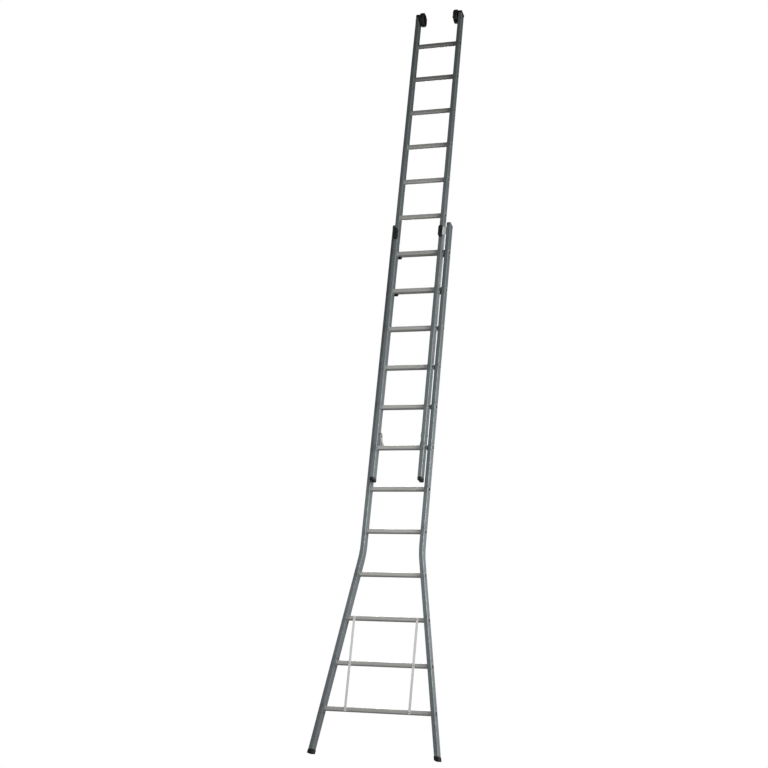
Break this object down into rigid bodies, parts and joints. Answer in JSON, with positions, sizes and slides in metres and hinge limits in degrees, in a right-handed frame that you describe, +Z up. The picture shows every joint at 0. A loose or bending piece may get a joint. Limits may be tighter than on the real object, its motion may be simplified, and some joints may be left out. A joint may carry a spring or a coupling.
{
  "type": "sectional ladder",
  "caption": "Push-up ladder of aluminium in sliding sections, with a flared base on rubber feet, latching pawls and wall wheels at the top.",
  "frame": {"origin": "on the floor, midway between the feet, in the middle plane of the lower section", "axes": "+Z up along the ladder's stiles, X along the rungs with +X to the right of a climber facing the ladder, +Y towards the wall"},
  "size_m": [0.826, 0.1435, 5.297],
  "materials": {
    "stile_aluminium": "satin, anodised grey",
    "rung_aluminium": "satin, ribbed tread",
    "plate_aluminium": "mill finish",
    "cast_aluminium": "cast, matt",
    "black_rubber": "matt",
    "black_plastic": "moulded, matt",
    "grey_plastic": "moulded, matt",
    "black_steel": "black oxide",
    "zinc_steel": "zinc plated"
  },
  "bodies": {
    "lower_section": {"foot_left": "black_rubber", "foot_right": "black_rubber", "guide_bracket_left": "plate_aluminium", "guide_bracket_right": "plate_aluminium", "guide_bracket_rivets": "zinc_steel", "guide_pad_left": "black_plastic", "guide_pad_right": "black_plastic", "guide_sleeves": "black_plastic", "lower_rung_01": "rung_aluminium", "lower_rung_02": "rung_aluminium", "lower_rung_03": "rung_aluminium", "lower_rung_04": "rung_aluminium", "lower_rung_05": "rung_aluminium", "lower_rung_06": "rung_aluminium", "lower_rung_07": "rung_aluminium", "lower_rung_08": "rung_aluminium", "lower_rung_09": "rung_aluminium", "lower_rung_10": "rung_aluminium", "lower_rung_11": "rung_aluminium", "lower_rung_12": "rung_aluminium", "lower_stile_left": "stile_aluminium", "lower_stile_right": "stile_aluminium", "lower_top_cap_left": "grey_plastic", "lower_top_cap_right": "grey_plastic", "tie_strip_left": "plate_aluminium", "tie_strip_right": "plate_aluminium", "tie_strip_rivets": "zinc_steel"},
    "upper_section": {"pawl_pivot_left": "zinc_steel", "pawl_pivot_right": "zinc_steel", "pawl_stop_left": "zinc_steel", "pawl_stop_right": "zinc_steel", "upper_bottom_cap_left": "black_plastic", "upper_bottom_cap_right": "black_plastic", "upper_rung_01": "rung_aluminium", "upper_rung_02": "rung_aluminium", "upper_rung_03": "rung_aluminium", "upper_rung_04": "rung_aluminium", "upper_rung_05": "rung_aluminium", "upper_rung_06": "rung_aluminium", "upper_rung_07": "rung_aluminium", "upper_rung_08": "rung_aluminium", "upper_rung_09": "rung_aluminium", "upper_rung_10": "rung_aluminium", "upper_rung_11": "rung_aluminium", "upper_rung_12": "rung_aluminium", "upper_stile_left": "stile_aluminium", "upper_stile_right": "stile_aluminium", "upper_top_cap_left": "black_plastic", "upper_top_cap_right": "black_plastic", "wheel_bolt_left": "black_steel", "wheel_bolt_right": "black_steel", "wheel_nuts_and_washers": "black_steel", "wheel_spacer_left": "black_steel", "wheel_spacer_right": "black_steel"},
    "wheel_left": {"wheel_hub_left": "black_plastic", "wheel_tyre_left": "black_rubber"},
    "wheel_right": {"wheel_hub_right": "black_plastic", "wheel_tyre_right": "black_rubber"},
    "pawl_left": {"pawl_left": "cast_aluminium"},
    "pawl_right": {"pawl_right": "cast_aluminium"}
  },
  "joints": [
    {"name": "upper_slide", "type": "slide", "parent": "lower_section", "child": "upper_section", "axis": [0, 0, 1], "range_m": [-1.68, 0.56]},
    {"name": "wheel_left_spin", "type": "hinge", "parent": "upper_section", "child": "wheel_left", "pos_m": [-0.125, -0.0535, 5.246], "axis": [1, 0, 0], "continuous": true},
    {"name": "wheel_right_spin", "type": "hinge", "parent": "upper_section", "child": "wheel_right", "pos_m": [0.125, -0.0535, 5.246], "axis": [1, 0, 0], "continuous": true},
    {"name": "pawl_left_swing", "type": "hinge", "parent": "upper_section", "child": "pawl_left", "pos_m": [-0.139, -0.0345, 2.02], "axis": [-1, 0, 0], "range_deg": [0, 32], "stiffness_Nm_per_rad": 0.05, "springref_deg": -45.84},
    {"name": "pawl_right_swing", "type": "hinge", "parent": "upper_section", "child": "pawl_right", "pos_m": [0.139, -0.0345, 2.02], "axis": [-1, 0, 0], "range_deg": [0, 32], "stiffness_Nm_per_rad": 0.05, "springref_deg": -45.84}
  ]
}
